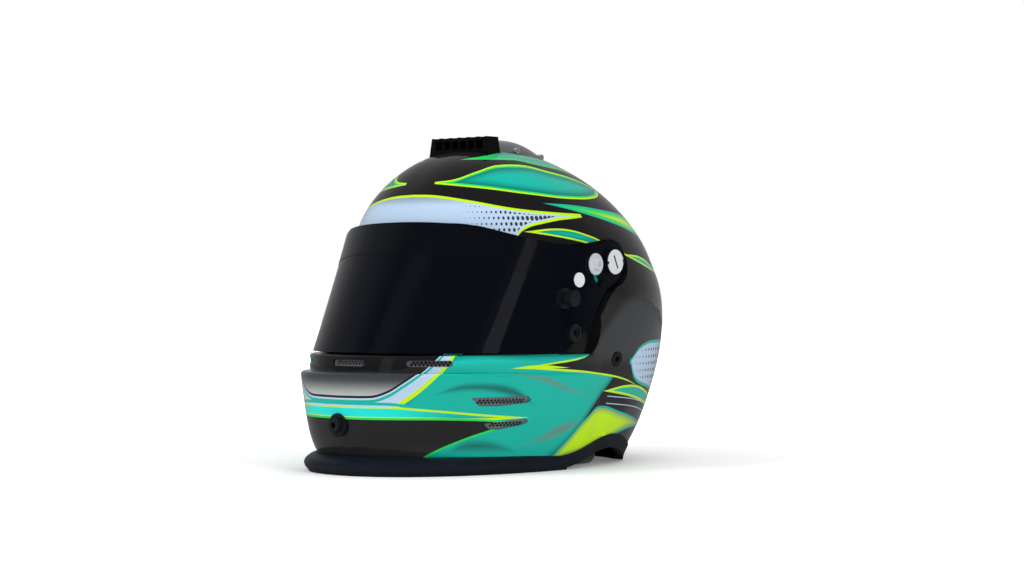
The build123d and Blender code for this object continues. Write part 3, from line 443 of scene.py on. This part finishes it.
# Visor recess: plain gloss black, but teal under the guide slot, where the paint shows through
recess_black = "101114"
shell_black = material("shell_black", recess_black, 0.22, Coat_Weight=0.6, Coat_Roughness=0.05)
pivot_middle = Vector((0, 24, 171)) * mm
slot_near = 17.4 * mm
slot_far = 26.8 * mm
slot_first = -0.2
slot_last = 0.95
slot_end_blur = 0.01
recess_kit = Nodes(shell_black.node_tree)
spot = recess_kit.places()
ahead = recess_kit.minus(pivot_middle.y, spot[1])
down = recess_kit.minus(pivot_middle.z, spot[2])
away = recess_kit.distance(ahead, down)
turned = recess_kit.math("ARCTAN2", down, ahead)
in_width = recess_kit.overlap(recess_kit.minus(away, slot_near), recess_kit.minus(slot_far, away))
in_turn = recess_kit.overlap(recess_kit.minus(turned, slot_first), recess_kit.minus(slot_last, turned))
in_slot = recess_kit.times(recess_kit.eased(in_width, (0.0, edge_blur)),
                           recess_kit.eased(in_turn, (0.0, slot_end_blur)))
coloured(shell_black, recess_kit.mix(in_slot, linear(recess_black), linear(ink["teal"])))

# Shell inside: plain dull black. The body's egg shape, as rows of height, half width, front reach, rear
# reach and middle in mm, tells the outer faces of the shell from its recess and its inside.
shell_inside = material("shell_inside", "141414", 0.8)
body_rows = (
    (0.0, 97.0, 143.1, 132.0, 5.0),
    (20.1, 103.5, 148.0, 141.1, 6.5),
    (45.0, 110.0, 151.1, 157.0, 8.5),
    (69.9, 115.0, 151.9, 168.0, 10.1),
    (94.9, 119.5, 150.5, 174.5, 11.8),
    (120.1, 123.0, 139.5, 175.1, 13.0),
    (145.0, 125.0, 126.4, 168.5, 15.0),
    (169.9, 122.4, 114.1, 154.0, 15.5),
    (195.1, 114.3, 101.4, 138.1, 13.0),
    (214.9, 102.8, 94.6, 119.1, 10.1),
    (232.9, 87.4, 83.1, 97.0, 7.0),
    (247.9, 68.3, 68.0, 72.0, 4.0),
    (258.1, 49.5, 52.0, 49.9, 2.0),
    (264.5, 29.5, 32.0, 27.1, 0.0),
    (267.6, 10.0, 12.1, 9.0, -1.6),
)
body_power = 2.25
least_size = 0.01
outer_skin = 1.2
inner_skin = 3.0
shell_middle = Vector((0, 0, 130)) * mm


def depth_in_body(place):
    """About how far a place lies inside the body's outer surface, in mm."""
    x, y, z = (value / mm for value in place)
    for low, high in zip(body_rows, body_rows[1:]):
        if z <= high[0]:
            part = max(0.0, (z - low[0]) / (high[0] - low[0]))
            half, front, rear, middle = (a + part * (b - a) for a, b in zip(low[1:], high[1:]))
            reach = middle + front if y < middle else rear - middle
            spread = abs(x / half) ** body_power + abs((y - middle) / reach) ** body_power
            size = spread ** (1 / body_power)
            return (1 - size) * math.hypot(x, y - middle) / max(size, least_size)
    return 0.0


shell_mesh = nodes["outer_shell"].data
shell_mesh.materials.clear()
for made in (shell_paint, shell_black, shell_inside):
    shell_mesh.materials.append(made)
for face in shell_mesh.polygons:
    depth = max(depth_in_body(shell_mesh.vertices[i].co) for i in face.vertices)
    face.material_index = 0 if depth < outer_skin else 1
    if depth > inner_skin and face.normal.dot(face.center - shell_middle) < 0:
        face.material_index = 2

# Visor: a dark smoke sheet of hard-coated polycarbonate, nearly black, with a plain black sun strip film
# along its top. The small round stickers are blank.
dress("visor", material("visor_smoke", "10131d", 0.04, Transmission_Weight=0.45))
dress("sun_strip", material("strip_film", "0b0d12", 0.1))
sticker_white = material("sticker_white", "e6e9ec", 0.35)
for side in side_names:
    dress(f"visor_sticker_{side}", sticker_white)

# Fixings: satin silver pivot caps, bright washers with polished socket screws, black posts and studs
cap_colour = "e8eaec"
cap_silver = material("cap_silver", cap_colour, 0.34, 0.15)
bright_steel = material("bright_steel", "d2d5d8", 0.24, 0.6)
black_fitting = material("black_fitting", "14161a", 0.32)
fixing_finishes = {
    "pivot_cap": cap_silver,
    "guide_washer": material("washer_silver", "d9dee6", 0.3, 0.2),
    "guide_screw": material("screw_polish", "f0f1f2", 0.12, 0.35),
    "pivot_plate": black_fitting,
    "tear_off_post": black_fitting,
    "visor_stud": black_fitting,
    "restraint_anchor": material("dark_insert", "1a1b1e", 0.45, 0.4),
    "strap_anchor": bright_steel,
}
for name, made in fixing_finishes.items():
    for side in side_names:
        dress(f"{name}_{side}", made)
dress("fairing_screws", bright_steel)

# The slot across each cap is dark, drawn along the same slant as the slot in the solid
slot_turn = math.radians(25)
slot_half_width = 0.95 * mm
slot_half_length = 5.6 * mm
cap_kit = Nodes(cap_silver.node_tree)
spot = cap_kit.places()
back = cap_kit.minus(spot[1], pivot_middle.y)
up = cap_kit.minus(spot[2], pivot_middle.z)
along = cap_kit.plus(cap_kit.times(up, math.cos(slot_turn)), cap_kit.times(back, -math.sin(slot_turn)))
beside = cap_kit.plus(cap_kit.times(back, math.cos(slot_turn)), cap_kit.times(up, math.sin(slot_turn)))
in_slot = cap_kit.overlap(cap_kit.minus(slot_half_width, cap_kit.math("ABSOLUTE", beside)),
                          cap_kit.minus(slot_half_length, cap_kit.math("ABSOLUTE", along)))
dark_slot = cap_kit.mix(cap_kit.eased(in_slot, (0.0, edge_blur)), linear(cap_colour), linear("17181b"))
coloured(cap_silver, dark_slot)


def repaint(name, made, chosen):
    """Gives a second material to the faces of a CAD node whose distance from the middle is chosen."""
    mesh = nodes[name].data
    mesh.materials.append(made)
    for face in mesh.polygons:
        face.material_index = 1 if chosen(abs(face.center.x)) else 0


# The caps are black behind their front faces, and the shell's paint runs on over the strap rivets
cap_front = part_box("pivot_cap_left")[1].x - 0.4 * mm
rivet_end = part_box("strap_anchor_left")[1].x - 0.1 * mm
for side in side_names:
    repaint(f"pivot_cap_{side}", black_fitting, lambda reach: reach < cap_front)
    repaint(f"strap_anchor_{side}", shell_paint, lambda reach: reach > rivet_end)

# Vent meshes: fine woven wire, standing a little back in each slot, and black in the scoop's mouth
mesh_wire = material("mesh_wire", "7d8084", 0.45, 0.3)
for name in nodes:
    if "mesh" in name:
        dress(name, mesh_wire)
dress("scoop_mesh", material("scoop_wire", "0b0b0c", 0.6))

# Rubber and plastic trim: the base edge channel, chin spoiler, eyeport lip and drink grommet
trim_rubber = material("trim_rubber", "181e28", 0.5, Specular_IOR_Level=0.25)
bumped(trim_rubber, grain(900.0), strength=0.15, distance=0.2 * mm)
spoiler_plastic = material("spoiler_plastic", "161c26", 0.4, Specular_IOR_Level=0.3)
bumped(spoiler_plastic, grain(700.0), strength=0.1, distance=0.2 * mm)
dress("base_edge_trim", trim_rubber)
dress("eyeport_gasket", trim_rubber)
dress("drink_port", material("grommet_rubber", "15171b", 0.4))
dress("chin_spoiler", spoiler_plastic)

# Crown: a matte black scoop with a mesh mouth and a glossy grey fairing behind it
scoop_matte = material("scoop_matte", "0b0c0d", 0.7, Specular_IOR_Level=0.2)
bumped(scoop_matte, grain(800.0), strength=0.15, distance=0.2 * mm)
dress("crown_scoop", scoop_matte)
dress("crown_fairing", material("fairing_gloss", "6d7176", 0.18, 0.2, Coat_Weight=0.6, Coat_Roughness=0.04))

# Liner: grey-black expanded bead foam, mostly hidden behind the cloth
bead_foam = material("bead_foam", "1a1b1d", 0.85)
bumped(bead_foam, grain(350.0), strength=0.5, distance=0.5 * mm)
dress("impact_liner", bead_foam)

# Cushions: the comfort liner, cheek pads, chin bar pad and neck roll are foam under brushed cloth.
# Each starts from the space that its pad fills, is rounded like a filled cover and gets a soft nap.
nap_cloth = material("nap_cloth", "17181b", 0.9, Sheen_Weight=0.4)
bumped(nap_cloth, weave(1.6 * mm), strength=0.35, distance=0.3 * mm)
cushion_voxel = 3.5 * mm
rounding_strength = 0.5
rounding_steps = 8
cushion_nodes = ("comfort_liner", "cheek_pad_left", "cheek_pad_right", "chin_bar_foam", "neck_roll")


def cushion(name):
    """A rounded, filled copy of the space that a pad takes."""
    thing = bpy.data.objects.new(f"{name}_cover", nodes[name].data.copy())
    bpy.context.scene.collection.objects.link(thing)
    thing.data.materials.clear()
    thing.data.materials.append(nap_cloth)
    remesh = thing.modifiers.new("even", "REMESH")
    remesh.mode = "VOXEL"
    remesh.voxel_size = cushion_voxel
    remesh.use_smooth_shade = True
    smooth = thing.modifiers.new("round", "SMOOTH")
    smooth.factor = rounding_strength
    smooth.iterations = rounding_steps
    bpy.context.view_layer.update()
    evaluated = thing.evaluated_get(bpy.context.evaluated_depsgraph_get())
    shaped = bpy.data.meshes.new_from_object(evaluated)
    thing.modifiers.clear()
    thing.data = shaped
    for face in shaped.polygons:
        face.use_smooth = True
    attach(thing, "helmet")
    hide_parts(name)


for name in cushion_nodes:
    cushion(name)

# Chin straps and rings: woven webbing, anchored inside each cheek, and two round wire rings. The left
# strap's end is folded round the bars of the rings and sewn back on itself; the right one ends free.
webbing = material("webbing", "15161a", 0.75, Sheen_Weight=0.3)
bumped(webbing, weave(1.4 * mm), strength=0.5, distance=0.3 * mm)
thread = material("thread", "3a3c42", 0.7)
strap_half_width = 10.8 * mm
strap_thickness = 1.2 * mm
strap_middle = 26 * mm
strap_x = 92 * mm
strap_top = 43.5 * mm
strap_run_level = 2.2 * mm
strap_turn = 9 * mm
strap_straight = 8 * mm
hem_place = Vector((30 * mm, 0, 5.4 * mm))
hem_reach = 4.15 * mm
hem_start = 9 * mm
hem_overlap = 12 * mm
hem_lift = 1.3 * mm
right_strap_end = 12.5 * mm
edge_thickness_share = 0.35
width_shares = (-1, -0.97, -0.6, -0.2, 0.2, 0.6, 0.97, 1)


def arc(centre, reach, start, stop, count):
    """Points of an arc in the XZ plane, from one angle to another in degrees."""
    turns = [math.radians(start + (stop - start) * step / count) for step in range(count + 1)]
    return [centre + Vector((math.cos(turn), 0, math.sin(turn))) * reach for turn in turns]


def strap_path(folded):
    """The strap's middle line: down from the anchor, round a soft bend and inwards along the base."""
    bend_level = strap_run_level + strap_turn
    path = [Vector((strap_x, 0, strap_top)), Vector((strap_x, 0, bend_level + strap_straight))]
    path += arc(Vector((strap_x - strap_turn, 0, bend_level)), strap_turn, start=0, stop=-90, count=8)
    if folded:
        path.append(Vector((hem_place.x + hem_start, 0, strap_run_level)))
        path += arc(hem_place, hem_reach, start=-80, stop=-290, count=16)
        path.append(Vector((hem_place.x + hem_overlap, 0, strap_run_level + hem_lift)))
    else:
        path.append(Vector((right_strap_end, 0, strap_run_level)))
    return path


def ribbon(path, mirror):
    """Webbing with thinner edges, swept along a path in the XZ plane."""
    made = bmesh.new()
    upper = [(share, 1 if abs(share) < 1 else edge_thickness_share) for share in width_shares]
    outline = upper + [(share, -lift) for share, lift in reversed(upper)]
    rings = []
    for index, place in enumerate(path):
        last = path[max(index - 1, 0)]
        following = path[min(index + 1, len(path) - 1)]
        along = (following - last).normalized()
        out = Vector((-along.z, 0, along.x)) * strap_thickness / 2
        ring = []
        for share, lift in outline:
            corner = place + out * lift + Vector((0, strap_middle + share * strap_half_width, 0))
            ring.append(made.verts.new((corner.x * mirror, corner.y, corner.z)))
        rings.append(ring)
    for first, second in zip(rings, rings[1:]):
        for index in range(len(first)):
            other = (index + 1) % len(first)
            made.faces.new((first[index], first[other], second[other], second[index]))
    made.faces.new(rings[0])
    made.faces.new(list(reversed(rings[-1])))
    bmesh.ops.recalc_face_normals(made, faces=made.faces)
    return made


stitch_count = 8
stitch_radius = 0.6 * mm
stitch_shape = (0.35, 1.6, 0.35, 1)
stitch_row_share = 0.8


def stitches(x_place, body, name):
    """A row of short raised stitches across the underside of the webbing."""
    made = bmesh.new()
    level = strap_run_level - strap_thickness / 2
    for index in range(stitch_count):
        share = stitch_row_share * (2 * index / (stitch_count - 1) - 1)
        place = Matrix.Translation((x_place, strap_middle + strap_half_width * share, level))
        shape = place @ Matrix.Diagonal(stitch_shape)
        bmesh.ops.create_icosphere(made, subdivisions=2, radius=stitch_radius, matrix=shape)
    object_from(made, name, thread, body)


for side, mirror, folded in (("left", 1, True), ("right", -1, False)):
    shape = ribbon(strap_path(folded), mirror)
    strap = object_from(shape, f"strap_webbing_{side}", webbing, f"strap_{side}")
    rounding = strap.modifiers.new("round", "SUBSURF")
    rounding.levels = 2
    rounding.render_levels = 2
    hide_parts(f"chin_strap_{side}")
for row, (hem_x, end_x) in enumerate(((38.5, -15.5), (41, -18))):
    stitches(hem_x * mm, "strap_left", f"hem_stitches_{row}")
    stitches(end_x * mm, "strap_right", f"end_stitches_{row}")
dress("d_ring_upper", bright_steel)
dress("d_ring_lower", bright_steel)

# Studio floor: pale and matt. The camera sees it lifted to white, less so near the helmet, where it keeps
# the shadow and is painted darker round the helmet as painted shade, and polished surfaces see it as a
# darker card.
floor_half = 6.0
floor_colour = (0.86, 0.86, 0.86, 1)
card_colour = (0.25, 0.25, 0.25, 1)
white = (1, 1, 1, 1)
painted_shade_span = (0.22, 1.2)
lift_levels = (0.15, 1.0)
floor_mesh = bmesh.new()
bmesh.ops.create_grid(floor_mesh, x_segments=1, y_segments=1, size=floor_half)
floor_data = bpy.data.meshes.new("floor")
floor_mesh.to_mesh(floor_data)
floor_mesh.free()
floor = bpy.data.objects.new("floor", floor_data)
bpy.context.scene.collection.objects.link(floor)
floor_white = bpy.data.materials.new("floor_white")
floor_white.use_nodes = True
floor_white.node_tree.nodes.clear()
floor_kit = Nodes(floor_white.node_tree)
rays = floor_kit.add("ShaderNodeLightPath").outputs
seen_colour = floor_kit.mix(rays["Is Glossy Ray"], floor_colour, card_colour)
matte = floor_kit.add("ShaderNodeBsdfDiffuse", {}, {"Color": seen_colour}).outputs[0]
place = floor_kit.add("ShaderNodeTexCoord").outputs["Object"]
away = floor_kit.add("ShaderNodeVectorMath", {"operation": "LENGTH"}, {0: place}).outputs["Value"]
# The lift is weakest near the helmet: painted shade round it, darker than the floor elsewhere under the
# same light.
lift_strength = floor_kit.times(rays["Is Camera Ray"], floor_kit.scaled(away, painted_shade_span, lift_levels))
lift = floor_kit.add("ShaderNodeEmission", {}, {"Color": white, "Strength": lift_strength}).outputs[0]
both_ways = floor_kit.add("ShaderNodeAddShader", {}, {0: matte, 1: lift}).outputs[0]
floor_kit.add("ShaderNodeOutputMaterial", {}, {"Surface": both_ways})
floor_data.materials.append(floor_white)

# Studio world: white to the camera and through the visor. Its light is stronger from above. Polished
# surfaces see a dark room that brightens behind the helmet, which gives them their pale rims.
behind_way = Vector((-0.656, 0.755))
rim_span = (-0.1, 0.98)
rim_levels = (0.012, 0.34)
ambient_span = (-0.2, 1.0)
ambient_levels = (0.3, 0.62)
world = bpy.data.worlds.new("studio")
world.use_nodes = True
world.node_tree.nodes.clear()
bpy.context.scene.world = world
sky = Nodes(world.node_tree)
rays = sky.add("ShaderNodeLightPath").outputs
way = sky.add("ShaderNodeSeparateXYZ", {}, {0: sky.add("ShaderNodeTexCoord").outputs["Generated"]}).outputs
behind = sky.plus(sky.times(way[0], behind_way.x), sky.times(way[1], behind_way.y))
mirrored = sky.eased(behind, rim_span, rim_levels)
ambient = sky.scaled(way[2], ambient_span, ambient_levels)
lighting = sky.blend(rays["Is Glossy Ray"], ambient, mirrored)
shown = sky.math("MAXIMUM", rays["Is Camera Ray"], rays["Is Transmission Ray"])
surround_inputs = {"Color": white, "Strength": sky.blend(shown, lighting, 1.0)}
surround = sky.add("ShaderNodeBackground", {}, surround_inputs).outputs[0]
sky.add("ShaderNodeOutputWorld", {}, {"Surface": surround})

# Lamps: four large soft ones that light the paint without showing in it, and two faint upright strips
# that show as soft bands of light in the visor. Rows are name, place, width, height, watts and shown.
lamp_aim = Vector((0, 0, 0.12))
lamps = (
    ("key", (-0.9, -2.0, 1.6), 0.9, 1.2, 26, False),
    ("side", (2.4, -0.6, 1.2), 0.7, 1.8, 20, False),
    ("top", (0.2, 0.3, 2.4), 1.8, 1.8, 17, False),
    ("rear", (-1.2, 2.2, 1.2), 1.2, 1.2, 10, False),
    ("front_strip", (-0.05, -2.2, 0.5), 0.5, 1.8, 0.6, True),
    ("side_strip", (2.2, -0.42, 0.5), 0.4, 1.8, 0.6, True),
)
for name, place, width, tall, power, in_gloss in lamps:
    data = bpy.data.lights.new(name, "AREA")
    data.shape = "RECTANGLE"
    data.size = width
    data.size_y = tall
    data.energy = power
    light = bpy.data.objects.new(name, data)
    bpy.context.scene.collection.objects.link(light)
    light.location = place
    light.rotation_mode = "QUATERNION"
    light.rotation_quaternion = (lamp_aim - light.location).to_track_quat("-Z", "Y")
    light.visible_glossy = in_gloss

# Camera: level with the middle of the helmet, to its front left, as in the photograph
azimuth = math.radians(41)
distance = 2.0
eye_height = 0.149
side_step = 0.0239
lens_length = 82.27
sensor_width = 36
look = Vector((-math.sin(azimuth), math.cos(azimuth), 0))
right = Vector((math.cos(azimuth), math.sin(azimuth), 0))
camera_data = bpy.data.cameras.new("camera")
camera_data.lens = lens_length
camera_data.sensor_width = sensor_width
camera = bpy.data.objects.new("camera", camera_data)
bpy.context.scene.collection.objects.link(camera)
camera.location = look * -distance + right * side_step + Vector((0, 0, eye_height))
camera.rotation_mode = "QUATERNION"
camera.rotation_quaternion = look.to_track_quat("-Z", "Y")
bpy.context.scene.camera = camera
bpy.context.scene.view_settings.view_transform = "Standard"
